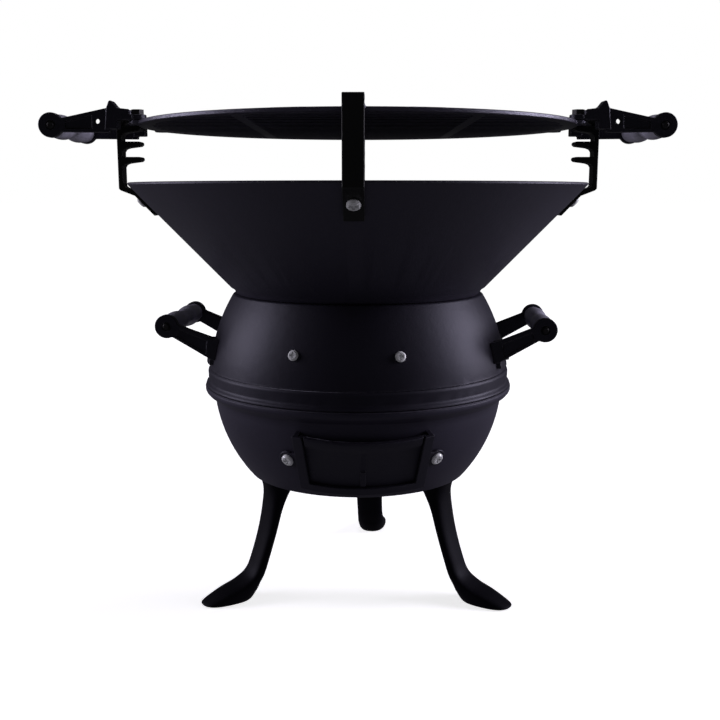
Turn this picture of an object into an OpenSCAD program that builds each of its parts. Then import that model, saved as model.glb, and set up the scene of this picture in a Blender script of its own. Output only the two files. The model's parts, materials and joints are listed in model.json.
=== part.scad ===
// Round cast-iron charcoal barbecue on three legs: ash bowl, belly with carry handles, conical fire
// bowl and a cooking grate held in one of three slots of four toothed brackets.
// Millimetres, +Z up, front towards -Y. The origin is on the ground, under the centre.

/* [Fire bowl] */
// Outer radius of the fire bowl's rim
rim_r = 175.5; // [174:0.5:177]
// Height of the rim above the ground
rim_z = 320; // [316:1:324]
// Outer radius of the fire bowl just above its foot
cone_foot_r = 100.5; // [100:0.5:101]
// Height of the seat between fire bowl and belly
seat_z = 235; // [233:0.5:237]
// Wall thickness of the castings
wall = 4; // [3.5:0.1:4.5]

/* [Belly and ash bowl] */
// Radius of the arc that the belly's side follows
dome_r = 133.8; // [132:0.2:135]
// Radius of the ash bowl's sphere
bowl_r = 115; // [114:0.5:116]
// Height of the sphere's centre
bowl_cz = 167.6; // [167:0.2:168.4]
// Height of the ash bowl's flat bottom
bowl_bottom_z = 92; // [90:0.5:94]
// Height of the joint between ash bowl and belly
joint_z = 163.5; // [163:0.5:164]
// Outer radius of the ash bowl's rim
flange_r = 121.6; // [121:0.2:122.4]
// Turn of the belly against the front, seen from above
belly_turn = -4.2; // [-6:0.2:6]

/* [Legs] */
// Azimuth of the right-hand front leg, measured from the front
right_leg_turn = 57.5; // [56:0.5:62]
// Turn of the back leg away from the middle of the back
back_leg_turn = -7; // [-8:0.5:8]
// Distance of the leg bolts from the centre
leg_bolt_r = 73; // [71:0.5:75]

/* [Air vent] */
// Turn of the vent against the front
vent_turn = 2; // [-4:0.5:4]
// Slope of the vent door's track from the vertical
vent_slope = 23.35; // [22:0.05:24]
// Half of the door's width at mid height, as an angle on its curve
door_half = 21; // [20:0.2:21.4]

/* [Grate brackets] */
// Width of a bracket
bracket_w = 13.5; // [12:0.5:14]
// Distance of a bracket's outer face from the centre
bracket_r = 185.4; // [185:0.1:185.8]
// Thickness of a bracket
bracket_t = 3.8; // [3.4:0.1:4]
// Height of a bracket's top
bracket_top = 370.8; // [370.7:0.1:371.4]
// Turn of the front bracket to the left
bracket_turn = 0.9; // [-2:0.1:2]
// Height of the slot the grate's lugs rest in
slot_z = 363; // [362.9:0.1:363.1]
// Height from one tooth to the next
tooth_pitch = 11.6; // [11:0.1:12]
// Distance of the tooth tips from the centre
tooth_tip_r = 167; // [166.8:0.1:168]

/* [Cooking grate] */
// Radius of the cooking grate
grate_r = 166; // [164:0.5:166]
// Thickness of the cooking grate
grate_t = 3.6; // [3.4:0.2:4]
// Height of the grate's upper face
grate_top = 364.9; // [364.7:0.1:365.2]

/* [Handles] */
// Half the distance between the middles of a handle's two arms
arm_y = 46; // [44:0.5:48]
// Thickness of a handle's arm
arm_t = 5.6; // [5:0.2:6.4]
// Radius of the round boss at an arm's end
boss_r = 9; // [8.8:0.1:9.6]
// Largest radius of the wooden grips on the grate
grip_r = 9.2; // [9:0.1:9.6]
// Largest radius of the wooden grips on the belly
belly_grip_r = 8.4; // [8:0.1:9]
// Distance of the grate grips from the centre
grate_grip_x = 223; // [222:0.5:226]
// Height of the grate grips
grate_grip_z = 361; // [360:0.5:362]
// Distance of the belly grips from the centre
belly_grip_x = 143; // [141:0.5:145]
// Height of the belly grips
belly_grip_z = 212; // [210:0.5:214]

/* [Hidden] */
NODES = [
    "lower_bowl", "leg_front_left", "leg_front_right", "leg_back", "leg_bolts",
    "vent_frame", "vent_door", "vent_screws", "vent_nuts",
    "upper_belly", "locating_straps", "strap_screws", "strap_nuts",
    "belly_arm_left_front", "belly_arm_left_back", "belly_arm_right_front", "belly_arm_right_back",
    "belly_arm_bolts", "belly_arm_nuts",
    "belly_grip_left", "belly_grip_right", "belly_grip_rod_left", "belly_grip_rod_right",
    "fire_bowl", "coal_grate",
    "bracket_front", "bracket_right", "bracket_back", "bracket_left", "bracket_screws", "bracket_nuts",
    "cooking_grate",
    "grate_arm_left_front", "grate_arm_left_back", "grate_arm_right_front", "grate_arm_right_back",
    "grate_handle_bolts",
    "grate_grip_left", "grate_grip_right", "grate_grip_rod_left", "grate_grip_rod_right",
    "grip_rod_nuts_belly", "grip_rod_nuts_grate",
];
node = "all";
$fn = 96;

front = -90;
back = 90;
left = 180;
right = 0;
gap = 0.1;
far = 400;

// Belly: its side is an arc about a centre behind the axis.
dome_cx = -15.65;
dome_cz = 164.8;
shoulder_z = 177;
rim_in = 109;
// Fire bowl: a plain cone with a tucked-in foot.
cone_foot_z = seat_z + 5.5;
rim_edge = 1.4;
cone_slope = (rim_r - cone_foot_r) / (rim_z - rim_edge - cone_foot_z);
cone_tilt = atan(cone_slope);
spigot_r = 91.5;
coal_hole_r = 86;
coal_grate_r = 93;
coal_grate_z = seat_z + 4.6;
// Leg bolts, screws and nuts: M6 below, M5 elsewhere.
m6 = 3;
m5 = 2.5;
play = 0.1;
// Vent: distances from the sphere's centre along the track's normal.
door_in = bowl_r + 0.5;
door_out = door_in + 2.2;
frame_in = bowl_r - 6;
frame_out = door_out + 3;
frame_side = door_half + 2.3;
frame_low = -23.5;
frame_high = 22;
window_side = door_half - 1.3;
window_low = -17.5;
door_low = -20.8;
door_high = 21.4;
// Lean of the frame's, window's and door's sides: all narrow downwards.
vent_taper = 8;
vent_ear = 29.7;
// Handles
rod_r = 3;
grip_bore = rod_r + 0.06;
grip_half = arm_y - arm_t / 2 - 0.4;

// ---------- placing ----------
module on_dome(az, elev) {
    rotate([0, 0, az])
        translate([dome_cx, 0, dome_cz])
            rotate([0, -elev, 0])
                translate([dome_r, 0, 0])
                    children();
}
module on_bowl(az, elev) {
    rotate([0, 0, az])
        translate([0, 0, bowl_cz])
            rotate([0, -elev, 0])
                translate([bowl_r, 0, 0])
                    children();
}
// Distance from the centre and height of a point on the cone's outer face.
function on_cone_line(z) = [cone_foot_r + (z - cone_foot_z) * cone_slope, z];
// +X is the cone's outward normal, +Z runs up along it, at height z on the outer face.
module on_cone(az, z) {
    rotate([0, 0, az])
        translate([on_cone_line(z)[0], 0, z])
            rotate([0, cone_tilt, 0])
                children();
}
module around(angles) {
    for (a = angles) rotate([0, 0, a]) children();
}

// ---------- fasteners: +X points out of the head ----------
module along_x() {
    rotate([0, 90, 0]) children();
}
module pan_screw(r, shank, head_r, head_h) {
    along_x()
        difference() {
            union() {
                translate([0, 0, -shank]) cylinder(r = r, h = shank + 0.5);
                cylinder(r = head_r, h = head_h * 0.45);
                translate([0, 0, head_h * 0.45])
                    cylinder(r1 = head_r, r2 = head_r * 0.72, h = head_h * 0.55);
            }
            translate([0, 0, head_h * 0.5]) cylinder(r = head_r * 0.34, h = head_h);
            for (a = [0, 90])
                rotate([0, 0, a])
                    translate([-head_r * 0.58, -0.65, head_h * 0.5]) cube([head_r * 1.16, 1.3, head_h]);
        }
}
module hex_bolt(r, shank, across, head_h) {
    along_x()
        union() {
            translate([0, 0, -shank]) cylinder(r = r, h = shank + 0.5);
            cylinder(r = across / sqrt(3), h = head_h, $fn = 6);
        }
}
module hex_nut(r, across, h) {
    along_x()
        difference() {
            cylinder(r = across / sqrt(3), h = h, $fn = 6);
            translate([0, 0, -1]) cylinder(r = r + 0.02, h = h + 2);
        }
}
// Clearance hole about the local X axis.
module bore_x(r, from, to) {
    translate([from, 0, 0]) along_x() cylinder(r = r, h = to - from);
}

// ---------- ash bowl, legs ----------
module bowl_outline(r, bottom, top) {
    intersection() {
        translate([0, bowl_cz]) circle(r = r);
        translate([0, bottom]) square([far, top - bottom]);
    }
}
module rim_profile() {
    polygon([
        [rim_in, joint_z - 12],
        [bowl_r - 2, joint_z - 12],
        [bowl_r - 0.6, joint_z - 9.6],
        [flange_r - 2, joint_z - 6],
        [flange_r - 0.5, joint_z - 4.2],
        [flange_r, joint_z - 3],
        [flange_r, joint_z - 0.6],
        [flange_r - 0.6, joint_z],
        [rim_in, joint_z],
    ]);
}
module lower_bowl() {
    color("#26262b")
        difference() {
            rotate_extrude()
                union() {
                    difference() {
                        bowl_outline(bowl_r, bowl_bottom_z, joint_z - 8);
                        bowl_outline(bowl_r - wall, bowl_bottom_z + wall, joint_z);
                    }
                    rim_profile();
                }
            around(leg_angles()) translate([leg_bolt_r, 0, 0]) cylinder(r = m6 + play, h = 120);
            for (s = [-1, 1])
                on_bowl(front + vent_turn + s * vent_ear, -vent_ear_elev) bore_x(m5 + play, -10, 10);
            vent_space()
                for (a = [-12, 0, 12])
                    rotate([0, 0, a]) translate([-9, -bowl_r - 10, -13]) cube([18, 20, 21]);
        }
}
function leg_angles() = [front - 60, front + right_leg_turn, back + back_leg_turn];

// A leg is a row of level rings: height, inner and outer distance from the centre, and width.
leg_rows = [
    [0, 99, 136, 21],
    [2, 97, 137, 24],
    [8, 93, 124, 25],
    [13, 91, 109.5, 24],
    [20, 87.5, 99, 23],
    [33, 83, 93, 23],
    [52, 77, 87, 24],
    [70, 71.5, 83.5, 25],
    [83, 65, 82.5, 27],
    [bowl_bottom_z, 59, 84.5, 31],
];
leg_steps = 3;
ring_points = 24;
function spline(p0, p1, p2, p3, t) =
    0.5 * ((2 * p1) + (p2 - p0) * t + (2 * p0 - 5 * p1 + 4 * p2 - p3) * t * t
        + (3 * p1 - p0 - 3 * p2 + p3) * t * t * t);
function leg_row(i) = leg_rows[max(0, min(len(leg_rows) - 1, i))];
function leg_at(i, t) = spline(leg_row(i - 1), leg_row(i), leg_row(i + 1), leg_row(i + 2), t);
function squarish(v) = sign(v) * pow(abs(v), 0.8);
function leg_ring(row) = [
    for (k = [0:ring_points - 1])
        let (a = 360 * k / ring_points)
            [
                (row[1] + row[2]) / 2 + (row[2] - row[1]) / 2 * squarish(cos(a)),
                row[3] / 2 * squarish(sin(a)),
                row[0],
            ]
];
module leg_blank() {
    rows = [
        for (i = [0:len(leg_rows) - 2]) for (j = [0:leg_steps - 1]) leg_at(i, j / leg_steps),
        leg_rows[len(leg_rows) - 1],
    ];
    points = [for (r = rows) for (p = leg_ring(r)) p];
    last = len(rows) - 1;
    polyhedron(
        points,
        concat(
            [[for (k = [0:ring_points - 1]) k]],
            [[for (k = [ring_points - 1:-1:0]) last * ring_points + k]],
            [
                for (i = [0:last - 1]) for (k = [0:ring_points - 1])
                    let (n = (k + 1) % ring_points, b = i * ring_points, c = b + ring_points)
                        [b + k, c + k, c + n, b + n]
            ]
        )
    );
}
module leg(az) {
    color("#222226")
        rotate([0, 0, az])
            difference() {
                leg_blank();
                translate([leg_bolt_r, 0, bowl_bottom_z - 16]) cylinder(r = m6 + 0.02, h = 20);
            }
}
module leg_bolts() {
    color("#8d8f94")
        around(leg_angles())
            translate([leg_bolt_r, 0, bowl_bottom_z + wall]) rotate([0, -90, 0]) hex_bolt(m6, 18, 10, 4);
}

// ---------- air vent ----------
vent_ear_elev = 22.2;
ear_t = 2;
// Local frame: the sphere's centre, Z along the door's track, -Y towards the front.
module vent_space() {
    rotate([0, 0, vent_turn])
        translate([0, 0, bowl_cz])
            rotate([vent_slope, 0, 0])
                children();
}
// A curved slab between two radii, two half angles and two heights.
module curved_slab(r1, r2, half, z1, z2) {
    translate([0, 0, z1])
        rotate([0, 0, front - half])
            rotate_extrude(angle = 2 * half)
                translate([r1, 0]) square([r2 - r1, z2 - z1]);
}
// Cuts what it is given to leaning sides, so that it narrows downwards: r is the outer radius, and
// half is the half angle at mid height.
module taper(r, half) {
    difference() {
        children();
        for (s = [-1, 1])
            rotate([0, 0, s * half])
                translate([0, -r, 0])
                    rotate([0, s * vent_taper, 0])
                        translate([s > 0 ? 0 : -20, -10, -40]) cube([20, 40, 80]);
    }
}
module tapered_slab(r1, r2, half, z1, z2) {
    taper(r2, half) curved_slab(r1, r2, half + 4, z1, z2);
}
// Two side rails and a sill: the door drops in from above.
module vent_frame() {
    color("#1d1d20")
        difference() {
            union() {
                vent_space() tapered_slab(frame_in, frame_out, frame_side, frame_low, frame_high);
                for (s = [-1, 1])
                    on_bowl(front + vent_turn + s * vent_ear, -vent_ear_elev) {
                        along_x() translate([0, 0, -2]) cylinder(r = 7, h = ear_t + 2);
                        translate([-2, s > 0 ? -15 : 0, -6]) cube([ear_t + 2, 15, 12]);
                    }
            }
            translate([0, 0, bowl_cz]) sphere(r = bowl_r);
            vent_space() {
                tapered_slab(frame_in - 2, frame_out + 2, window_side, window_low, frame_high + 2);
                tapered_slab(frame_in - 2, door_out + 0.25, door_half + 0.3, door_low - gap, frame_high + 2);
            }
            for (s = [-1, 1])
                on_bowl(front + vent_turn + s * vent_ear, -vent_ear_elev) bore_x(m5 + play, -10, 10);
        }
}
// The door's upper edge swells into a grip to lift it by.
module vent_door() {
    color("#2b2b30")
        vent_space() {
            tapered_slab(door_in, door_out, door_half, door_low, door_high);
            taper(frame_out, window_side - 0.5)
                rotate([0, 0, front - door_half - 4])
                    rotate_extrude(angle = 2 * door_half + 8)
                        polygon([
                            [door_out - 0.8, door_high - 10],
                            [frame_out - 0.6, door_high - 5],
                            [frame_out - 0.6, door_high + 0.1],
                            [frame_out - 1.4, door_high + 0.6],
                            [door_out - 0.8, door_high + 0.6],
                        ]);
            translate([-2, -door_out - 1.4, -16.5]) cube([4, 2.2, 13]);
        }
}
module vent_screws() {
    color("#d9dade")
        for (s = [-1, 1])
            on_bowl(front + vent_turn + s * vent_ear, -vent_ear_elev)
                translate([ear_t + 0.05, 0, 0]) pan_screw(m5, 12, 4.6, 2);
}
module vent_nuts() {
    color("#b9bbc0")
        for (s = [-1, 1])
            on_bowl(front + vent_turn + s * vent_ear, -vent_ear_elev)
                translate([-wall - 4.2, 0, 0]) hex_nut(m5, 8, 4);
}

// ---------- belly ----------
strap_az = [-19.2, 19.2, 160.8, 199.2];
strap_elev = 15.6;
strap_r = 106;
module dome_solid(r, z1, z2) {
    rotate_extrude()
        intersection() {
            translate([dome_cx, dome_cz]) circle(r = r);
            translate([0, z1]) square([far, z2 - z1]);
        }
}
function dome_at(r, z) = dome_cx + sqrt(r * r - (z - dome_cz) * (z - dome_cz));
band_r = dome_at(dome_r, shoulder_z) + 1.7;
shoulder_round = 3.4;
module belly_skirt() {
    rotate_extrude()
        polygon(concat(
            [
                [dome_at(dome_r - wall, shoulder_z), shoulder_z + 1],
                [dome_at(dome_r, shoulder_z) - 0.3, shoulder_z + 1],
            ],
            [for (a = [60:-10:0]) [
                band_r - shoulder_round * (1 - cos(a)),
                shoulder_z - 2.4 + shoulder_round * sin(a),
            ]],
            [
                [band_r - 0.3, joint_z + 4.2],
                [flange_r - 0.4, joint_z + 1.8],
                [flange_r - 0.6, joint_z + gap],
                [dome_at(dome_r - wall, shoulder_z) + 0.6, joint_z + gap],
            ]
        ));
}
module upper_belly() {
    color("#34333c")
        difference() {
            union() {
                difference() {
                    dome_solid(dome_r, shoulder_z, seat_z);
                    dome_solid(dome_r - wall, shoulder_z - 1, seat_z + 1);
                }
                belly_skirt();
            }
            for (a = strap_az) on_dome(front + belly_turn + a, strap_elev) bore_x(m5 + play, -12, 6);
            belly_bolt_places() bore_x(m5 + play, -12, 6);
        }
}
module locating_straps() {
    color("#3a3a3e")
        for (a = strap_az)
            difference() {
                union() {
                    rotate([0, 0, front + belly_turn + a])
                        translate([strap_r - 2.5, -7, joint_z - 14]) cube([2.5, 14, 57]);
                    intersection() {
                        on_dome(front + belly_turn + a, strap_elev) bore_x(6, -wall - 4, -wall);
                        dome_solid(dome_r - wall - 0.02, shoulder_z, seat_z);
                    }
                }
                on_dome(front + belly_turn + a, strap_elev) bore_x(m5 + play, -20, 6);
            }
}
module strap_screws() {
    color("#d9dade")
        for (a = strap_az)
            on_dome(front + belly_turn + a, strap_elev) translate([0.05, 0, 0]) pan_screw(m5, 16, 3.8, 1.8);
}
module strap_nuts() {
    color("#b9bbc0")
        for (a = strap_az)
            on_dome(front + belly_turn + a, strap_elev) translate([-wall - 11.4, 0, 0]) hex_nut(m5, 8, 4);
}

// ---------- belly handles ----------
foot_az = 17.2;
foot_elev = 11.3;
foot_t = 3.2;
module belly_bolt_places() {
    for (side = [left, right]) for (s = [-1, 1])
        on_dome(side + belly_turn + s * foot_az, foot_elev) children();
}
// One arm on the right-hand side; s is -1 or 1 along Y.
module belly_arm(side, s) {
    color("#1f1f22")
        rotate([0, 0, side + belly_turn])
            difference() {
                union() {
                    translate([0, s * arm_y, 0])
                        rotate([90, 0, 0])
                            linear_extrude(arm_t, center = true)
                                union() {
                                    translate([belly_grip_x, belly_grip_z]) circle(r = boss_r);
                                    polygon([
                                        [belly_grip_x - 8, belly_grip_z + 2],
                                        [belly_grip_x - 3.6, belly_grip_z - 7.6],
                                        [109, 186.8],
                                        [96, 184],
                                        [96, 201.5],
                                        [108, 203],
                                    ]);
                                }
                    intersection() {
                        dome_solid(dome_r + foot_t, 182, 202);
                        translate([90, s > 0 ? 28 : -45, 180]) cube([40, 17, 24]);
                    }
                }
                dome_solid(dome_r + 0.02, 170, 210);
                rotate([0, 0, s * foot_az])
                    translate([dome_cx, 0, dome_cz])
                        rotate([0, -foot_elev, 0])
                            translate([dome_r, 0, 0]) bore_x(m5 + play, -10, 10);
                translate([belly_grip_x, s * arm_y, belly_grip_z])
                    rotate([90, 0, 0]) cylinder(r = rod_r + play, h = 20, center = true);
                // long recess in the outer face
                translate([0, s * (arm_y + arm_t / 2), 0])
                    rotate([90, 0, 0])
                        linear_extrude(2.4, center = true)
                            polygon([
                                [belly_grip_x - 10, belly_grip_z - 2],
                                [belly_grip_x - 8, belly_grip_z - 7.4],
                                [113, 191.4],
                                [112, 201.4],
                            ]);
            }
}
module belly_arm_bolts() {
    color("#8d8f94") belly_bolt_places() translate([foot_t + 0.05, 0, 0]) hex_bolt(m5, 16, 8, 3.5);
}
module belly_arm_nuts() {
    color("#b9bbc0") belly_bolt_places() translate([-wall - 4.3, 0, 0]) hex_nut(m5, 8, 4);
}

// ---------- grips and rods, along Y ----------
// Two rounded lobes with a waist between them: place along the grip and share of the largest radius.
grip_rows = [
    [-1, 0.74], [-0.97, 0.86], [-0.82, 0.9], [-0.66, 0.975], [-0.48, 1], [-0.3, 0.95], [-0.12, 0.83],
    [0, 0.79],
    [0.12, 0.83], [0.3, 0.95], [0.48, 1], [0.66, 0.975], [0.82, 0.9], [0.97, 0.86], [1, 0.74],
];
module grip(x, z, r) {
    color("#2a2422")
        translate([x, 0, z])
            rotate([90, 0, 0])
                rotate_extrude()
                    polygon(concat(
                        [[grip_bore, -grip_half]],
                        [for (row = grip_rows) [r * row[1], grip_half * row[0]]],
                        [[grip_bore, grip_half]]
                    ));
}
module rod(x, z) {
    color("#5b5c61")
        translate([x, 0, z])
            rotate([90, 0, 0])
                union() {
                    translate([0, 0, -arm_y - arm_t / 2 - 5])
                        cylinder(r = rod_r, h = 2 * arm_y + arm_t + 4.6);
                    translate([0, 0, arm_y + arm_t / 2 - 0.4])
                        cylinder(r1 = rod_r, r2 = rod_r - 1.2, h = 1.2);
                }
}
module rod_nut(x, z) {
    color("#8d8f94")
        translate([x, arm_y + arm_t / 2 + 0.05, z]) rotate([0, 0, 90]) hex_nut(rod_r, 10, 4);
}

// ---------- fire bowl ----------
module fire_bowl() {
    in_top = rim_r + rim_edge * cone_slope - wall / cos(cone_tilt);
    in_foot = in_top - (rim_z - cone_foot_z - 2) * cone_slope;
    color("#2a292f")
        difference() {
            rotate_extrude()
                polygon([
                    [rim_r - 0.6, rim_z],
                    [rim_r, rim_z - 0.6],
                    [rim_r, rim_z - rim_edge],
                    [cone_foot_r, cone_foot_z],
                    [cone_foot_r - 2.6, cone_foot_z - 1.6],
                    [cone_foot_r - 4.6, seat_z + 0.8],
                    [cone_foot_r - 5.2, seat_z + gap],
                    [spigot_r, seat_z + gap],
                    [spigot_r, seat_z - 6],
                    [spigot_r - 3.5, seat_z - 6],
                    [coal_hole_r, seat_z - 4],
                    [coal_hole_r, coal_grate_z - gap],
                    [in_foot, coal_grate_z - gap],
                    [in_foot, cone_foot_z + 2],
                    [in_top, rim_z],
                ]);
            around(bracket_angles) bracket_bores();
        }
}
module coal_grate() {
    color("#2c2a29")
        difference() {
            translate([0, 0, coal_grate_z]) cylinder(r = coal_grate_r, h = 6);
            for (i = [-4:4])
                let (w = sqrt(80 * 80 - pow(i * 17, 2)))
                    for (s = [-1, 1])
                        translate([i * 17 - 4, s > 0 ? 4 : -w, coal_grate_z - 1]) cube([8, w - 4, 8]);
        }
}

// ---------- brackets ----------
bracket_angles = [front - bracket_turn, right, back, left];
screw_z = rim_z - 11.6;
bracket_foot_t = bracket_t + 0.4;
// Shape in the plane of distance (x) and height (y), with teeth on its inner side.
module bracket_profile() {
    inner = bracket_r - bracket_t;
    out = [cos(cone_tilt), -sin(cone_tilt)];
    heel = on_cone_line(rim_z - 7);
    toe = on_cone_line(rim_z - 22.5);
    tops = [bracket_top, slot_z, slot_z - tooth_pitch, slot_z - 2 * tooth_pitch];
    polygon(concat(
        [for (top = tops) for (q = [
            [inner, top],
            [tooth_tip_r + 1, top],
            [tooth_tip_r, top - 1],
            [tooth_tip_r, top - 2.4],
            [tooth_tip_r + 1.4, top - 3.6],
            [inner - 4, top - 4.8],
            [inner - 1.2, top - 5.8],
            [inner, top - 7.8],
        ]) q],
        [
            [inner, rim_z - 2],
            [inner - 1.2, rim_z - 3.2],
            heel + out * 0.3,
            toe + out * 0.3,
            toe + out * bracket_foot_t,
            heel + out * bracket_foot_t,
            [bracket_r - 1.6, rim_z - 5.8],
            [bracket_r, rim_z - 4.4],
            [bracket_r, bracket_top - 0.8],
            [bracket_r - 0.8, bracket_top],
        ]
    ));
}
module bracket_bores() {
    on_cone(0, screw_z) bore_x(m5 + play, -12, 12);
}
module bracket(az) {
    color("#17171a")
        rotate([0, 0, az])
            difference() {
                rotate([90, 0, 0]) linear_extrude(bracket_w, center = true) bracket_profile();
                bracket_bores();
            }
}
module bracket_screws() {
    color("#d9dade")
        around(bracket_angles)
            on_cone(0, screw_z) translate([bracket_foot_t + 0.05, 0, 0]) pan_screw(m5, 16, 4.6, 2.2);
}
module bracket_nuts() {
    color("#b9bbc0")
        around(bracket_angles) on_cone(0, screw_z) translate([-wall - 4.2, 0, 0]) hex_nut(m5, 8, 4);
}

// ---------- cooking grate ----------
grate_bottom = grate_top - grate_t;
bar = 6;
bar_step = 15;
ring_in = grate_r - 11;
// The bars and ribs stand a little proud of the ring.
ring_top = grate_top - 0.6;
lug_z = slot_z + gap;
lug_t = 2.4;
bolt_x = 160;
tongue_t = 4;
pad_r = 6.4;
// Upright ears of the grate handles' arms: middle and width
ear_x = 178;
ear_w = 11;
module cooking_grate() {
    color("#2e2c2d")
        difference() {
            union() {
                difference() {
                    translate([0, 0, grate_bottom]) cylinder(r = grate_r, h = ring_top - grate_bottom);
                    translate([0, 0, grate_bottom - 1]) cylinder(r = ring_in, h = grate_t + 2);
                }
                intersection() {
                    translate([0, 0, grate_bottom]) cylinder(r = ring_in + 2, h = grate_t);
                    union() {
                        for (i = [-10:10])
                            translate([-grate_r, i * bar_step - bar / 2, grate_bottom])
                                cube([2 * grate_r, bar, grate_t]);
                        for (j = [-1:1])
                            translate([j * 78 - 4, -grate_r, grate_bottom]) cube([8, 2 * grate_r, grate_t]);
                    }
                }
                around(bracket_angles)
                    translate([grate_r - 6, -7, lug_z]) cube([15, 14, lug_t]);
                around([left, right]) for (s = [-1, 1])
                    translate([0, s * arm_y, grate_bottom]) {
                        translate([bolt_x, 0, 0]) cylinder(r = pad_r, h = ring_top - grate_bottom);
                        translate([bolt_x - 14, -pad_r, 0]) cube([14, 2 * pad_r, ring_top - grate_bottom]);
                    }
            }
            handle_bolt_places() translate([0, 0, -20]) cylinder(r = m5 + 0.02, h = 40);
        }
}
module handle_bolt_places() {
    around([left, right]) for (s = [-1, 1]) translate([bolt_x, s * arm_y, ring_top]) children();
}

// ---------- grate handles ----------
// An arm: boss, tapering arm, upright ear and a tongue bolted to the grate.
module grate_arm(side, s) {
    color("#1b1b1e")
        rotate([0, 0, side])
            translate([0, s * arm_y, 0])
                difference() {
                    union() {
                        rotate([90, 0, 0])
                            linear_extrude(arm_t, center = true)
                                union() {
                                    translate([grate_grip_x, grate_grip_z]) circle(r = boss_r);
                                    polygon([
                                        [grate_grip_x - 4, grate_grip_z - 5],
                                        [grate_grip_x - 5.4, grate_grip_z + 4.4],
                                        [ear_x + 2, grate_grip_z + 12.4],
                                        [ear_x + 2, grate_grip_z - 5.4],
                                    ]);
                                }
                        rotate([90, 0, 0])
                            linear_extrude(ear_w, center = true)
                                polygon([
                                    [ear_x + 5, grate_grip_z - 3],
                                    [ear_x + 3.4, grate_grip_z + 12],
                                    [ear_x + 1.4, grate_grip_z + 17],
                                    [ear_x - 0.4, grate_grip_z + 17],
                                    [ear_x - 4.4, grate_grip_z + 12],
                                    [ear_x - 4.4, grate_grip_z - 3],
                                ]);
                        rotate([90, 0, 0])
                            linear_extrude(ear_w, center = true)
                                polygon([
                                    [ear_x - 3, ring_top + 0.05],
                                    [ear_x - 3, grate_grip_z + 12],
                                    [bolt_x + 2, grate_grip_z + 10.6],
                                    [bolt_x, ring_top + tongue_t],
                                    [bolt_x, ring_top + 0.05],
                                ]);
                        translate([bolt_x, 0, ring_top + 0.05]) cylinder(r = pad_r, h = tongue_t);
                    }
                    translate([bolt_x, 0, ring_top - 10]) cylinder(r = m5 + play, h = 40);
                    translate([bolt_x, 0, ring_top + tongue_t + 0.05]) cylinder(r = 7, h = 20);
                    translate([grate_grip_x, 0, grate_grip_z])
                        rotate([90, 0, 0]) cylinder(r = rod_r + play, h = 20, center = true);
                    translate([ear_x + 11, 0, grate_grip_z + 2.6])
                        rotate([90, 0, 0]) cylinder(r = 1.8, h = 20, center = true);
                    // long recess in the outer face
                    translate([0, s * arm_t / 2, 0])
                        rotate([90, 0, 0])
                            linear_extrude(3.2, center = true)
                                polygon([
                                    [grate_grip_x - 11, grate_grip_z - 2.6],
                                    [grate_grip_x - 11, grate_grip_z + 2.4],
                                    [ear_x + 15, grate_grip_z + 6.4],
                                    [ear_x + 15, grate_grip_z - 2.6],
                                ]);
                }
}
module grate_handle_bolts() {
    color("#6b6c70")
        handle_bolt_places()
            translate([0, 0, tongue_t + 0.1]) rotate([0, -90, 0]) hex_bolt(m5, tongue_t + 2.8, 8, 3.5);
}

function on(name) = node == "all" || node == name;

if (on("lower_bowl")) lower_bowl();
if (on("leg_front_left")) leg(leg_angles()[0]);
if (on("leg_front_right")) leg(leg_angles()[1]);
if (on("leg_back")) leg(leg_angles()[2]);
if (on("leg_bolts")) leg_bolts();
if (on("vent_frame")) vent_frame();
if (on("vent_door")) vent_door();
if (on("vent_screws")) vent_screws();
if (on("vent_nuts")) vent_nuts();
if (on("upper_belly")) upper_belly();
if (on("locating_straps")) locating_straps();
if (on("strap_screws")) strap_screws();
if (on("strap_nuts")) strap_nuts();
if (on("belly_arm_left_front")) belly_arm(left, 1);
if (on("belly_arm_left_back")) belly_arm(left, -1);
if (on("belly_arm_right_front")) belly_arm(right, -1);
if (on("belly_arm_right_back")) belly_arm(right, 1);
if (on("belly_arm_bolts")) belly_arm_bolts();
if (on("belly_arm_nuts")) belly_arm_nuts();
if (on("belly_grip_left")) rotate([0, 0, belly_turn]) grip(-belly_grip_x, belly_grip_z, belly_grip_r);
if (on("belly_grip_right")) rotate([0, 0, belly_turn]) grip(belly_grip_x, belly_grip_z, belly_grip_r);
if (on("belly_grip_rod_left")) rotate([0, 0, belly_turn]) rod(-belly_grip_x, belly_grip_z);
if (on("belly_grip_rod_right")) rotate([0, 0, belly_turn]) rod(belly_grip_x, belly_grip_z);
if (on("fire_bowl")) fire_bowl();
if (on("coal_grate")) coal_grate();
if (on("bracket_front")) bracket(bracket_angles[0]);
if (on("bracket_right")) bracket(bracket_angles[1]);
if (on("bracket_back")) bracket(bracket_angles[2]);
if (on("bracket_left")) bracket(bracket_angles[3]);
if (on("bracket_screws")) bracket_screws();
if (on("bracket_nuts")) bracket_nuts();
if (on("cooking_grate")) cooking_grate();
if (on("grate_arm_left_front")) grate_arm(left, 1);
if (on("grate_arm_left_back")) grate_arm(left, -1);
if (on("grate_arm_right_front")) grate_arm(right, -1);
if (on("grate_arm_right_back")) grate_arm(right, 1);
if (on("grate_handle_bolts")) grate_handle_bolts();
if (on("grate_grip_left")) grip(-grate_grip_x, grate_grip_z, grip_r);
if (on("grate_grip_right")) grip(grate_grip_x, grate_grip_z, grip_r);
if (on("grate_grip_rod_left")) rod(-grate_grip_x, grate_grip_z);
if (on("grate_grip_rod_right")) rod(grate_grip_x, grate_grip_z);
if (on("grip_rod_nuts_belly"))
    rotate([0, 0, belly_turn])
        for (x = [-belly_grip_x, belly_grip_x]) rod_nut(x, belly_grip_z);
if (on("grip_rod_nuts_grate")) for (x = [-grate_grip_x, grate_grip_x]) rod_nut(x, grate_grip_z);
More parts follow.
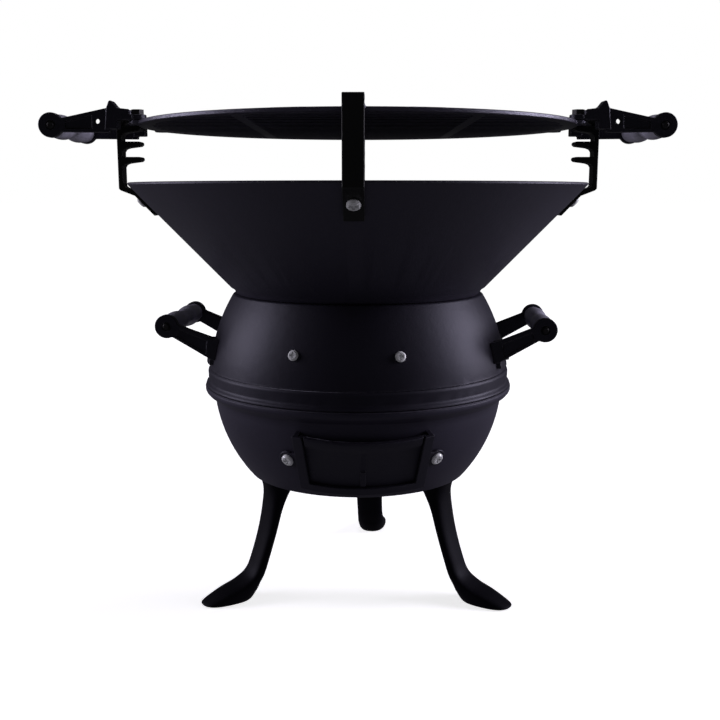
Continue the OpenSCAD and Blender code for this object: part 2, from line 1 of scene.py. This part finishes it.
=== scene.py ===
# %% [markdown]
# # A round charcoal barbecue in cast iron
#
# The object is a stack of turned iron castings: an ash bowl on three legs, a belly with two carry
# handles, and a conical fire bowl whose four toothed brackets hold a cooking grate at one of three
# heights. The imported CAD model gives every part's place. This script gives the parts their finish and
# rebuilds the ones whose soft, cast or turned shape the CAD solids only sketch.

import json
import math

import bmesh
import bpy
import numpy as np
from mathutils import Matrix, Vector


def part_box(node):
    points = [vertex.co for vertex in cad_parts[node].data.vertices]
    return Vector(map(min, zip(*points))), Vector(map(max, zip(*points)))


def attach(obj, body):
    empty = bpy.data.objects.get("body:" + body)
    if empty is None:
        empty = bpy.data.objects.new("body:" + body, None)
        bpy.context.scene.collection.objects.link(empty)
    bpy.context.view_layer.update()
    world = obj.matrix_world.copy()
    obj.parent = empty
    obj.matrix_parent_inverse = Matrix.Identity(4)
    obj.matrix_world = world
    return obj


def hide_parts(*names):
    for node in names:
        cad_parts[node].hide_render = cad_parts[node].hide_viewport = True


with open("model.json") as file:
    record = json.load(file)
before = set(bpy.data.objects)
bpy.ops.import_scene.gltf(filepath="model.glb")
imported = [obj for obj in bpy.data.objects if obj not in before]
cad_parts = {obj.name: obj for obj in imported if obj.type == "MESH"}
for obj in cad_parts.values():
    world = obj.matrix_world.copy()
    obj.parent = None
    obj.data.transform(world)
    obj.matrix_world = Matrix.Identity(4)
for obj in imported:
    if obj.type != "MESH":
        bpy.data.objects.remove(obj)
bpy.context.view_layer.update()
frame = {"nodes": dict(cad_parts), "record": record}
nodes = frame["nodes"]
MM = 0.001

# %% [markdown]
# ## Camera
#
# A product shot of such a stove is taken from a little above its middle, close enough for the round
# rims to open into ellipses. A lens of just under 50 mm from three quarters of a metre keeps that
# perspective. The tiny shifts only centre the object in the frame.

# %% Camera
camera_data = bpy.data.cameras.new("camera")
camera_data.lens = 48.65
camera_data.sensor_width = 36.0
camera_data.shift_x = 0.0029
camera_data.shift_y = 0.0057
camera_data.clip_start = 0.01
camera = bpy.data.objects.new("camera", camera_data)
camera.location = (0.0, -0.773, 0.3127)
camera.rotation_euler = (math.radians(80.0), 0.0, 0.0)
bpy.context.scene.collection.objects.link(camera)
bpy.context.scene.camera = camera
print("camera", camera_data.lens, "mm at", tuple(camera.location))

# %% [markdown]
# ## Surfaces from arrays
#
# Turned, lofted and swept shapes are all the same thing: points on a grid with two parameters. The
# whole grid is one numpy array, so a shape is a formula instead of a loop. Two ways of closing it are
# enough here: a grid closed both ways is a ring or a bored roller, and a tube whose two ends are
# capped is a bar or a leg.


# %% Grid to mesh
def faces_of_grid(rows, columns, rows_closed):
    """Quads between neighbouring points, whose number is row * columns + column.
    Columns always close on themselves; rows do so only where asked."""
    last = rows if rows_closed else rows - 1
    row, column = np.meshgrid(np.arange(last), np.arange(columns), indexing="ij")
    next_row, next_column = (row + 1) % rows, (column + 1) % columns
    corners = (
        row * columns + column,
        row * columns + next_column,
        next_row * columns + next_column,
        next_row * columns + column,
    )
    return np.stack(corners, -1).reshape(-1, 4)


def shell(points, rows_closed=False):
    """Vertices and faces of one closed grid surface; open rows get one face at each end."""
    rows, columns = points.shape[:2]
    faces = faces_of_grid(rows, columns, rows_closed).tolist()
    if not rows_closed:
        faces.append(list(range(columns))[::-1])
        faces.append(list(range((rows - 1) * columns, rows * columns)))
    return points.reshape(-1, 3), faces


def make_piece(name, shells, smooth_angle=40.0):
    """One object in place from several closed shells, with its faces turned outwards."""
    vertices, faces, first = [], [], 0
    for shell_points, shell_faces in shells:
        vertices.append(shell_points)
        faces.extend([[first + v for v in face] for face in shell_faces])
        first += len(shell_points)
    mesh = bpy.data.meshes.new(name)
    mesh.from_pydata(np.concatenate(vertices).tolist(), [], faces)
    work = bmesh.new()
    work.from_mesh(mesh)
    bmesh.ops.recalc_face_normals(work, faces=work.faces)
    work.to_mesh(mesh)
    work.free()
    piece = bpy.data.objects.new(name, mesh)
    bpy.context.scene.collection.objects.link(piece)
    shade_smooth(piece, smooth_angle)
    return piece


def shade_smooth(piece, angle):
    """Smooth shading, with edges sharper than the angle kept crisp."""
    piece.data.shade_smooth()
    piece.data.set_sharp_from_angle(angle=math.radians(angle))


def spline(rows, steps):
    """Catmull-Rom curve through the rows: each new row is a cubic blend of its four neighbours."""
    rows = np.asarray(rows, float)
    padded = np.vstack([rows[:1], rows, rows[-1:]])
    t = (np.arange(steps) / steps)[:, None, None]
    a, b, c, d = (padded[i:len(rows) - 1 + i] for i in range(4))
    square, cube = 2 * a - 5 * b + 4 * c - d, 3 * b - a - 3 * c + d
    curve = 0.5 * (2 * b + (c - a) * t + square * t**2 + cube * t**3)
    return np.vstack([curve.transpose(1, 0, 2).reshape(-1, rows.shape[1]), rows[-1:]])


def turned(points, degrees):
    """Points turned about the upright axis."""
    a = math.radians(degrees)
    matrix = np.array([[math.cos(a), -math.sin(a), 0], [math.sin(a), math.cos(a), 0], [0, 0, 1]])
    return points @ matrix.T


print("grid helpers ready")

# %% [markdown]
# ## Shader helpers
#
# A finish is easier to read as a sum than as a web of nodes. `Value` wraps a socket, so that
# `0.5 + 0.2 * grain` adds the Math nodes by itself. `Finish.node` makes any other node from its type,
# its settings and what goes into its sockets. Every pattern reads Object coordinates in metres, so a
# scale of 1000 means one feature for each millimetre.


# %% Value
class Value:
    """A number or colour on its way through a material."""

    def __init__(self, finish, socket):
        self.finish, self.socket = finish, socket

    def join(self, operation, first, second):
        return self.finish.node("ShaderNodeMath", {"operation": operation}, {0: first, 1: second})

    def __add__(self, other):
        return self.join("ADD", self, other)

    __radd__ = __add__

    def __sub__(self, other):
        return self.join("SUBTRACT", self, other)

    def __rsub__(self, other):
        return self.join("SUBTRACT", other, self)

    def __mul__(self, other):
        return self.join("MULTIPLY", self, other)

    __rmul__ = __mul__


print("Value adds Math nodes for + - *")

# %% Finish
MIX_MASK, MIX_FIRST, MIX_SECOND, MIX_RESULT = 0, 6, 7, 2
# Wear starts where a rounded normal's cosine to the real one drops to the first number, and is full
# at the second.
WEAR_STARTS, WEAR_FULL = 0.995, 0.93


class Finish:
    """A material: constants sit on the shader's own sockets, patterns are linked with `feed`."""

    def __init__(self, name, constants):
        self.material = bpy.data.materials.new(name)
        self.material.use_nodes = True
        self.tree = self.material.node_tree
        self.tree.nodes.clear()
        self.shader = self.tree.nodes.new("ShaderNodeBsdfPrincipled")
        output = self.tree.nodes.new("ShaderNodeOutputMaterial")
        self.tree.links.new(self.shader.outputs[0], output.inputs[0])
        for socket, value in constants.items():
            self.shader.inputs[socket].default_value = value
        self.place = self.node("ShaderNodeTexCoord", {}, {}, "Object")

    def node(self, kind, settings, inputs, output=0):
        """Adds a node: settings first, then each socket's value or link. Returns one output."""
        made = self.tree.nodes.new(kind)
        for key, value in settings.items():
            setattr(made, key, value)
        for key, value in inputs.items():
            self.connect(value, made.inputs[key])
        return Value(self, made.outputs[output])

    def connect(self, value, socket):
        if isinstance(value, Value):
            self.tree.links.new(value.socket, socket)
        else:
            socket.default_value = value

    def feed(self, socket, value):
        self.connect(value, self.shader.inputs[socket])

    def noise(self, scale, detail=2.0, stretch=None):
        """Soft random hills between 0 and 1, `scale` of them to the metre. A stretch below 1 draws
        them out along that axis."""
        where = self.place
        if stretch:
            where = self.node("ShaderNodeMapping", {}, {"Vector": where, "Scale": stretch})
        inputs = {"Vector": where, "Scale": scale, "Detail": detail}
        return self.node("ShaderNodeTexNoise", {}, inputs)

    def cells(self, scale):
        """Voronoi cells: the distance to the nearest of many scattered points."""
        inputs = {"Vector": self.place, "Scale": scale}
        return self.node("ShaderNodeTexVoronoi", {}, inputs, "Distance")

    def step(self, value, low, high):
        """0 below low, 1 above high and a smooth slope between; swap the two to turn it round."""
        return self.node(
            "ShaderNodeMapRange",
            {"interpolation_type": "SMOOTHSTEP"},
            {"Value": value, "From Min": low, "From Max": high},
        )

    def mix(self, mask, first, second):
        """The first colour where the mask is 0, the second where it is 1."""
        inputs = {MIX_MASK: mask, MIX_FIRST: first, MIX_SECOND: second}
        return self.node("ShaderNodeMix", {"data_type": "RGBA"}, inputs, MIX_RESULT)

    def bump(self, height, depth, normal=None):
        """Turns a height between 0 and 1 into a relief of that depth in metres, on top of another
        relief if there is one."""
        inputs = {"Height": height, "Distance": depth, "Strength": 1.0}
        if normal:
            inputs["Normal"] = normal
        return self.node("ShaderNodeBump", {}, inputs)

    def worn_edges(self, radius):
        """1 on sharp edges, 0 on flats: how far a rounded normal leans away from the real one."""
        rounded = self.node("ShaderNodeBevel", {"samples": 4}, {"Radius": radius})
        real = self.node("ShaderNodeNewGeometry", {}, {}, "Normal")
        agree = self.node(
            "ShaderNodeVectorMath", {"operation": "DOT_PRODUCT"}, {0: rounded, 1: real}, "Value"
        )
        return self.step(agree, WEAR_STARTS, WEAR_FULL)


def grey(value, tint=(1.0, 1.0, 1.0)):
    """A colour of that brightness, tinted."""
    return (value * tint[0], value * tint[1], value * tint[2], 1.0)


print("Finish makes noise, cells, steps, mixes, relief and worn edges")

# %% [markdown]
# ## Painted cast iron
#
# The bowls are sand castings under a thin coat of heat-proof graphite paint. Three things make that
# look: the sand leaves a fine grain of about half a millimetre, the casting itself is slightly uneven
# over several millimetres, and the coat is thinner on edges, where grey iron shows through. The pits of
# the grain are also painted darker, a painted shade in the hollows. On the handle castings the pale
# edges are made strong enough to paint the highlight that runs along them. A little dust lies on the
# paint as pale specks. The violet cast of the paint is in its colour and in its sheen. One function
# makes all of these paints, because they differ only in tone, gloss, grain and pale edges.

# %% Paint on castings
VIOLET = (0.96, 0.84, 1.42)
SHEEN = (0.80, 0.79, 1.0, 1.0)
DUST_COLOUR = grey(0.2)
# Bare grey iron on worn edges; on the handle castings the same colour paints the highlight along the
# edges.
BARE_IRON_AND_HIGHLIGHT = grey(0.08, (1.0, 0.95, 1.05))
# How many features of each kind there are to the metre.
SAND, TOOTH, UNEVEN, CLOUDS = 1900, 820, 150, 16
PITS, PIT_PATCHES, SPECKS, SPECK_PATCHES, PALE_EDGE_PATCHES = 620, 95, 1150, 170, 420
PAINT_EDGE = 0.9 * MM
UNEVEN_DEPTH = 0.10 * MM


def cast_paint(name, tone, roughness, gloss, grain_depth, specks, edge_wear_and_highlight):
    """Matt paint on a sand casting. tone is the paint's brightness, gloss its mirror share of light;
    specks and the amount of pale edges go from 0 to 1. The pale edges are bare iron on sharp edges:
    wear, and on the handle castings also a painted highlight along the edges. The pits are painted
    darker, as painted shade. Pits, specks and pale edges are each a fine pattern times a patchy one."""
    finish = Finish(name, {"IOR": 1.5, "Specular IOR Level": gloss, "Specular Tint": SHEEN})
    sand = finish.noise(SAND, detail=3.0)
    uneven = finish.noise(UNEVEN, detail=4.0)
    cloud = finish.noise(CLOUDS, detail=4.0)
    pits_and_pit_shade = finish.step(finish.cells(PITS), 0.34, 0.05)
    pits_and_pit_shade = pits_and_pit_shade * finish.step(finish.noise(PIT_PATCHES, detail=3.0), 0.56, 0.66)
    dust = finish.step(finish.cells(SPECKS), 0.17, 0.10)
    dust = dust * finish.step(finish.noise(SPECK_PATCHES), 0.55, 0.7) * specks
    # Pale edges: wear on sharp edges, and on the handle castings a painted highlight.
    edge = finish.worn_edges(PAINT_EDGE)
    edge = edge * finish.step(finish.noise(PALE_EDGE_PATCHES, detail=3.0), 0.35, 0.6) * edge_wear_and_highlight
    paint = finish.mix(cloud, grey(tone * 0.68, VIOLET), grey(tone * 1.32, VIOLET))
    # Painted shade: the pits are mixed towards a much darker tone.
    paint = finish.mix(pits_and_pit_shade * 0.6, paint, grey(tone * 0.25, VIOLET))
    paint = finish.mix(dust, paint, DUST_COLOUR)
    finish.feed("Base Color", finish.mix(edge, paint, BARE_IRON_AND_HIGHLIGHT))
    finish.feed("Roughness", roughness - 0.07 + 0.10 * cloud + 0.08 * sand + 0.15 * dust)
    relief = 0.55 * sand + 0.45 * finish.noise(TOOTH) - 0.5 * pits_and_pit_shade
    coarse = finish.bump(uneven, UNEVEN_DEPTH)
    finish.feed("Normal", finish.bump(relief, grain_depth, coarse))
    return finish.material


print("sand grain", round(1 / (SAND * MM), 2), "mm, pits", round(1 / (PITS * MM), 1), "mm apart")

# %% One paint for each slot
# slot: tone, roughness, gloss, depth of the grain in mm, specks, pale edges (wear, and on
# handle_casting also a painted highlight)
CAST_PAINTS = {
    "painted_casting": (0.025, 0.52, 0.40, 0.10, 0.25, 0.3),
    "painted_belly": (0.014, 0.46, 0.28, 0.07, 0.18, 0.15),
    "painted_fire_bowl": (0.022, 0.50, 0.60, 0.12, 0.5, 0.7),
    "leg_paint": (0.003, 0.50, 0.08, 0.12, 0.2, 0.4),
    "vent_paint": (0.014, 0.48, 0.40, 0.12, 0.2, 0.5),
    # The handle castings' pale edges are strong enough to paint the highlight along their edges.
    "handle_casting": (0.006, 0.38, 0.45, 0.22, 0.35, 0.9),
    "raw_grate_iron": (0.030, 0.34, 0.90, 0.30, 1.0, 0.9),
}
painted = {}
for slot, (tone, roughness, gloss, grain, specks, edge_wear_and_highlight) in CAST_PAINTS.items():
    painted[slot] = cast_paint(slot, tone, roughness, gloss, grain * MM, specks, edge_wear_and_highlight)
print("painted finishes:", sorted(painted))

# %% [markdown]
# ## Black bars, wood and screws
#
# The toothed brackets are flat bars with a smoother, deeper black that shows faint lines along the
# bar. The grips are turned wood: fine rings from the lathe run round them, the grain runs along them,
# and a grey stain under wax lets the pale wood through where it is worn. The screws are zinc plated:
# bright metal with a soft blue-white bloom. The other fasteners are blackened steel.

# %% Bar paint
BAR_DARK, BAR_LIGHT, BAR_WORN = grey(0.0015), grey(0.004, (0.98, 0.96, 1.05)), grey(0.09)
BAR_EDGE = 0.7 * MM
BAR_RELIEF = 0.10 * MM
ALONG_Z = (1, 1, 0.05)


def bar_paint():
    """Smooth black paint with faint lines along the upright bar."""
    finish = Finish("bar_paint", {"IOR": 1.5, "Specular IOR Level": 0.25})
    lines = finish.noise(900, stretch=ALONG_Z)
    sand = finish.noise(1500, detail=3.0)
    cloud = finish.noise(40, detail=3.0)
    edge = finish.worn_edges(BAR_EDGE) * finish.step(finish.noise(500), 0.4, 0.62) * 0.6
    paint = finish.mix(cloud, BAR_DARK, BAR_LIGHT)
    finish.feed("Base Color", finish.mix(edge, paint, BAR_WORN))
    finish.feed("Roughness", 0.36 + 0.12 * lines + 0.08 * cloud)
    finish.feed("Normal", finish.bump(0.7 * lines + 0.5 * sand, BAR_RELIEF))
    return finish.material


painted["bracket_paint"] = bar_paint()
print("bar paint reads", len(painted["bracket_paint"].node_tree.nodes), "nodes")

# %% Stained wood
LAVENDER = (0.97, 0.94, 1.16)
WOOD_RELIEF = 0.16 * MM


def stained_wood():
    """Turned wood: grain stretched along Y, lathe rings across it, stain worn thin in places."""
    finish = Finish("stained_wood", {"IOR": 1.5, "Specular IOR Level": 0.5, "Coat Roughness": 0.28})
    grain = finish.noise(700, detail=4.0, stretch=(1, 0.06, 1))
    figure = finish.noise(160, detail=3.0, stretch=(1, 0.15, 1))
    rings = finish.noise(1100, stretch=(0.02, 1, 0.02))
    worn = finish.step(finish.noise(55, detail=4.0), 0.48, 0.7)
    stain = finish.mix(grain, grey(0.10, LAVENDER), grey(0.42, LAVENDER))
    stain = finish.mix(figure * 0.5, stain, grey(0.50, LAVENDER))
    finish.feed("Base Color", finish.mix(worn * 0.55, stain, grey(0.62, LAVENDER)))
    finish.feed("Roughness", 0.36 + 0.16 * grain + 0.10 * worn)
    finish.feed("Coat Weight", 0.30 - 0.2 * worn)
    finish.feed("Normal", finish.bump(0.6 * grain + 0.4 * rings, WOOD_RELIEF))
    return finish.material


painted["stained_wood"] = stained_wood()
print("wood reads", len(painted["stained_wood"].node_tree.nodes), "nodes")

# %% Plated and blackened steel
SCRATCH_DEPTH = 0.02 * MM


def plated(name, tone, tint, roughness, metallic):
    """Plated or blackened steel: fine scratches and a cloudy bloom."""
    finish = Finish(name, {"Metallic": metallic})
    scratches = finish.noise(2600, stretch=(1, 0.15, 0.6))
    bloom = finish.noise(260, detail=3.0)
    finish.feed("Base Color", finish.mix(bloom, grey(tone * 0.82, tint), grey(tone * 1.1, tint)))
    finish.feed("Roughness", roughness + 0.14 * bloom)
    finish.feed("Normal", finish.bump(scratches, SCRATCH_DEPTH))
    return finish.material


painted["zinc"] = plated("zinc_plate", 0.9, (0.98, 0.99, 1.0), 0.26, 0.15)
painted["black_steel"] = plated("black_steel", 0.035, (1.0, 0.97, 1.0), 0.42, 0.9)
painted["strap_steel"] = plated("strap_steel", 0.06, (1.0, 0.98, 1.0), 0.45, 0.4)
print("all finishes:", len(painted))

# %% [markdown]
# ## From finish to part
#
# The record names one material slot for every node, and one body that the node moves with. Screws,
# bolts, nuts and rods already have their true shape, so they only get their finish. Every other node
# is replaced by a piece that takes over its slot and rides on its body, which `finish_piece` does.

# %% Put the finishes on the CAD nodes
slot_of = {part["node"]: part["material_slot"] for part in frame["record"]["subparts"]}
bodies = frame["record"]["behaviour"]["bodies"]
body_of = {node: body for body, names in bodies.items() for node in names}
for node, part in nodes.items():
    part.data.materials.clear()
    part.data.materials.append(painted[slot_of[node]])
print("nodes with a finish:", len(slot_of))


def finish_piece(piece, node):
    """Gives a piece the finish of the node it stands for, and lets it move with its body."""
    piece.data.materials.append(painted[slot_of[node]])
    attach(piece, body_of[node])
    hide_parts(node)
    size = [round(v * 1000) for v in piece.dimensions]
    print(piece.name, len(piece.data.polygons), "faces,", size, "mm, rides on", body_of[node])


# %% [markdown]
# ## Softened castings
#
# No edge of a sand casting is sharp: the pattern has small radii, and the paint rounds them further.
# The CAD shapes are right but have knife edges. A Bevel modifier on a copy gives each casting its
# radius, and the thin highlight that runs along such an edge. The copy's loose triangles are first
# joined, and flat areas made one face again, so that only real edges are left to bevel. Hardened
# normals keep the flats flat.

# %% Round the edges of a copy
SAME_POINT = 0.005 * MM
SAME_PLANE = math.radians(0.6)
SHARP_EDGE = math.radians(35.0)
CREASE_DEGREES = 28.0


def softened(node, radius):
    """A copy of a node whose edges sharper than SHARP_EDGE are rounded with that radius."""
    mesh = nodes[node].data.copy()
    mesh.materials.clear()
    work = bmesh.new()
    work.from_mesh(mesh)
    bmesh.ops.remove_doubles(work, verts=work.verts, dist=SAME_POINT)
    bmesh.ops.dissolve_limit(work, angle_limit=SAME_PLANE, verts=work.verts, edges=work.edges)
    work.to_mesh(mesh)
    work.free()
    piece = bpy.data.objects.new(node + "_cast", mesh)
    bpy.context.scene.collection.objects.link(piece)
    shade_smooth(piece, CREASE_DEGREES)
    bevel = piece.modifiers.new("casting_radius", "BEVEL")
    bevel.width = radius
    bevel.segments = 3
    bevel.limit_method = "ANGLE"
    bevel.angle_limit = SHARP_EDGE
    bevel.use_clamp_overlap = False
    bevel.harden_normals = True
    return piece


print("edges over", round(math.degrees(SHARP_EDGE)), "degrees get a radius")

# %% Castings with soft edges
# Radius in mm: large on the bowls, small on thin pieces.
CASTING_RADIUS = {
    "lower_bowl": 1.0, "upper_belly": 1.0, "fire_bowl": 0.9, "vent_frame": 0.7, "vent_door": 0.5,
    "cooking_grate": 0.8, "coal_grate": 0.8, "locating_straps": 0.5,
    "bracket_front": 0.6, "bracket_right": 0.6, "bracket_back": 0.6, "bracket_left": 0.6,
}
for side in ("left_front", "left_back", "right_front", "right_back"):
    CASTING_RADIUS["belly_arm_" + side] = 0.8
    CASTING_RADIUS["grate_arm_" + side] = 0.8
for node, radius in CASTING_RADIUS.items():
    finish_piece(softened(node, radius * MM), node)

# %% [markdown]
# ## Legs
#
# Each leg is one casting that swings outwards into a shoe-shaped foot. It is a loft: at every height
# a rounded rectangle between an inner and an outer distance from the middle, with its own width. A
# smooth curve through ten such rows gives the calf, the ankle and the toe. The CAD leg follows the
# same rows in coarser facets, so the piece takes its place.

# %% Legs
# Height, inner and outer distance from the middle, and width, all in mm.
LEG_ROWS = [
    (0, 99, 136, 21), (2, 97, 137, 24), (8, 93, 124, 25), (13, 91, 109.5, 24), (20, 87.5, 99, 23),
    (33, 83, 93, 23), (52, 77, 87, 24), (70, 71.5, 83.5, 25), (83, 65, 82.5, 27), (92, 59, 84.5, 31),
]
LEG_AZIMUTH = {"leg_front_left": -150.0, "leg_front_right": -32.5, "leg_back": 83.0}
LEG_STEPS, LEG_SIDES = 10, 64
SQUARISH_POWER = 0.8


def squarish(wave):
    """A sine wave swollen towards its limits, which turns an ellipse into a rounded rectangle."""
    return np.sign(wave) * np.abs(wave) ** SQUARISH_POWER


def leg_points(azimuth):
    """x = middle + half depth * cos, y = half width * sin, both squarish, for every height."""
    height, inner, outer, width = spline(LEG_ROWS, LEG_STEPS).T[:, :, None]
    a = np.linspace(0, 2 * math.pi, LEG_SIDES, endpoint=False)[None, :]
    x = (inner + outer) / 2 + (outer - inner) / 2 * squarish(np.cos(a))
    y = width / 2 * squarish(np.sin(a))
    points = np.stack(np.broadcast_arrays(x, y, height), -1) * MM
    return turned(points, azimuth)


for node, azimuth in LEG_AZIMUTH.items():
    leg = make_piece(node + "_cast", [shell(leg_points(azimuth))])
    finish_piece(leg, node)

# %% [markdown]
# ## Wooden grips
#
# A grip is a bored roller with two lobes and a waist, free to turn on its rod. Its outline is a
# profile swept round the rod's axis, and the bore closes the profile into a loop, so the grid closes
# both ways and needs no caps. A lathe mark near each end is part of the profile.

# %% Grips
# Place along the rod from -1 to 1, and radius as a share of the largest.
GRIP_ROWS = [
    (-1, 0.74), (-0.97, 0.86), (-0.82, 0.9), (-0.66, 0.975), (-0.48, 1), (-0.3, 0.95), (-0.12, 0.83),
    (0, 0.79), (0.12, 0.83), (0.3, 0.95), (0.48, 1), (0.66, 0.975), (0.82, 0.9), (0.97, 0.86),
    (1, 0.74),
]
GRIP_STEPS, GRIP_SIDES = 6, 72
ROD_BORE = 3.06 * MM
GRIP_HALF = 42.8 * MM
INSIDE_CAD = 0.998
MARK_DEPTH, MARK_PLACE, MARK_WIDTH = 0.35 * MM, 0.88, 0.012


def grip_points(node, turn):
    """Radius as a curve of the place along the rod, swept round the rod; the bore is the way back."""
    low, high = (np.array(corner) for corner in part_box(node))
    middle = (low + high) / 2
    along, radius = spline(GRIP_ROWS, GRIP_STEPS).T
    radius = radius * (high[2] - low[2]) / 2 * INSIDE_CAD
    radius = radius - MARK_DEPTH * np.exp(-(((np.abs(along) - MARK_PLACE) / MARK_WIDTH) ** 2))
    half = GRIP_HALF * along
    loop_r = np.concatenate([radius, [ROD_BORE, ROD_BORE]])
    loop_y = np.concatenate([half, [half[-1], half[0]]])
    a = np.linspace(0, 2 * math.pi, GRIP_SIDES, endpoint=False)
    x = loop_r[:, None] * np.cos(a)
    z = loop_r[:, None] * np.sin(a)
    y = np.broadcast_to(loop_y[:, None], x.shape)
    return turned(np.stack([x, y, z], -1), turn) + middle


# Degrees by which the belly, and so its grips, is turned about the upright axis.
BELLY_TURN = -4.2
GRIPS = {
    "belly_grip_left": BELLY_TURN, "belly_grip_right": BELLY_TURN,
    "grate_grip_left": 0.0, "grate_grip_right": 0.0,
}
for node, turn in GRIPS.items():
    roller = shell(grip_points(node, turn), rows_closed=True)
    finish_piece(make_piece(node + "_wood", [roller], smooth_angle=30.0), node)

# %% [markdown]
# ## Floor and light
#
# A pale floor carries the object and takes a soft contact shadow. The floor's glow is painted light:
# full far off, so that no horizon shows, and weaker near the object, which leaves a painted shade round
# it in which the real contact shadow shows. The iron is nearly black,
# so it is drawn by what it reflects: two large soft boxes, one on each side, give the belly its two
# upright highlights and leave its middle dark. The floor is hidden from reflections, so it doesn't
# wash out the dark underside; a faint glowing disc just above it stands in for what it sends back.
# The room is white to the camera and nearly dark to the object.

# %% Floor
FLOOR_SIDES = 96
FLOOR_RINGS = (1.0, 30.0)
FLOOR_LEVEL = -0.2 * MM
# The floor's glow is painted light: dimmer near the object, a painted shade round it, and full far off.
SHADED_NEAR_GLOW, FAR_GLOW = grey(0.74), grey(1.0)
GLOW_GROWS_FROM, GLOW_GROWS_TO = 0.35, 1.6
angles = np.linspace(0, 2 * math.pi, FLOOR_SIDES, endpoint=False)
rings = np.array(FLOOR_RINGS)[:, None]
floor_grid = np.broadcast_arrays(rings * np.cos(angles), rings * np.sin(angles), FLOOR_LEVEL)
floor_points = np.stack(floor_grid, -1).reshape(-1, 3)
floor_faces = faces_of_grid(len(FLOOR_RINGS), FLOOR_SIDES, False).tolist()
floor_faces.append(list(range(FLOOR_SIDES)))
floor_mesh = bpy.data.meshes.new("floor")
floor_mesh.from_pydata(floor_points.tolist(), [], floor_faces)
floor = bpy.data.objects.new("floor", floor_mesh)
bpy.context.scene.collection.objects.link(floor)
pale = Finish("pale_floor", {"Roughness": 0.9, "Specular IOR Level": 0.1, "Emission Strength": 1.0})
pale.feed("Base Color", grey(0.82))
# Painted light and shade: the glow grows from near the object to far off.
reach = pale.node("ShaderNodeVectorMath", {"operation": "LENGTH"}, {0: pale.place}, "Value")
far = pale.step(reach, GLOW_GROWS_FROM, GLOW_GROWS_TO)
pale.feed("Emission Color", pale.mix(far, SHADED_NEAR_GLOW, FAR_GLOW))
floor_mesh.materials.append(pale.material)
floor.visible_diffuse = False
floor.visible_glossy = False
print("floor radius", FLOOR_RINGS[-1], "m")

# %% Soft boxes
COOL = (0.90, 0.86, 1.0)


def soft_box(name, azimuth, distance, height, aim, width, tall, watts):
    """A rectangular soft box at an azimuth from +X, turned to face a point on the axis. Its place is
    distance * (cos, sin) of the azimuth, at that height."""
    data = bpy.data.lights.new(name, "AREA")
    data.shape = "RECTANGLE"
    data.size, data.size_y = width, tall
    data.energy, data.color = watts, COOL
    box = bpy.data.objects.new(name, data)
    a = math.radians(azimuth)
    box.location = (distance * math.cos(a), distance * math.sin(a), height)
    to_aim = Vector((0, 0, aim)) - box.location
    box.rotation_euler = to_aim.to_track_quat("-Z", "Y").to_euler()
    bpy.context.scene.collection.objects.link(box)


# name: azimuth in degrees; distance, height, height aimed at, width, height of the box in m; watts
SOFT_BOXES = {
    "side_right": (5.0, 1.5, 0.64, 0.22, 0.7, 0.9, 20.5),
    "side_left": (175.0, 1.5, 0.64, 0.22, 0.7, 0.9, 13.0),
    "overhead": (90.0, 0.9, 2.0, 0.3, 1.2, 0.8, 6.0),
    "front_fill": (-90.0, 2.2, 0.9, 0.2, 1.6, 0.9, 0.9),
}
for name, setting in SOFT_BOXES.items():
    soft_box(name, *setting)
print("soft boxes:", len(SOFT_BOXES))

# %% Light from below and around
GLOW_RADIUS = 0.8
GLOW_HEIGHT = 1.0 * MM
GLOW_WATTS = 0.65
ROOM_LIGHT = 0.03
glow_data = bpy.data.lights.new("floor_glow", "AREA")
glow_data.shape = "DISK"
glow_data.size = 2 * GLOW_RADIUS
glow_data.energy, glow_data.color = GLOW_WATTS, COOL
glow = bpy.data.objects.new("floor_glow", glow_data)
glow.location = (0.0, 0.0, GLOW_HEIGHT)
glow.rotation_euler = (math.pi, 0.0, 0.0)
glow.visible_camera = False
bpy.context.scene.collection.objects.link(glow)

world = bpy.data.worlds.new("studio")
bpy.context.scene.world = world
world.use_nodes = True
links, sky = world.node_tree.links, world.node_tree.nodes
sky.clear()
seen = sky.new("ShaderNodeLightPath")
strength = sky.new("ShaderNodeMapRange")
strength.inputs["To Min"].default_value = ROOM_LIGHT
strength.inputs["To Max"].default_value = 1.0
room = sky.new("ShaderNodeBackground")
room.inputs["Color"].default_value = (1.0, 1.0, 1.0, 1.0)
room_output = sky.new("ShaderNodeOutputWorld")
links.new(seen.outputs["Is Camera Ray"], strength.inputs["Value"])
links.new(strength.outputs[0], room.inputs["Strength"])
links.new(room.outputs[0], room_output.inputs[0])
bpy.context.scene.view_settings.view_transform = "Standard"
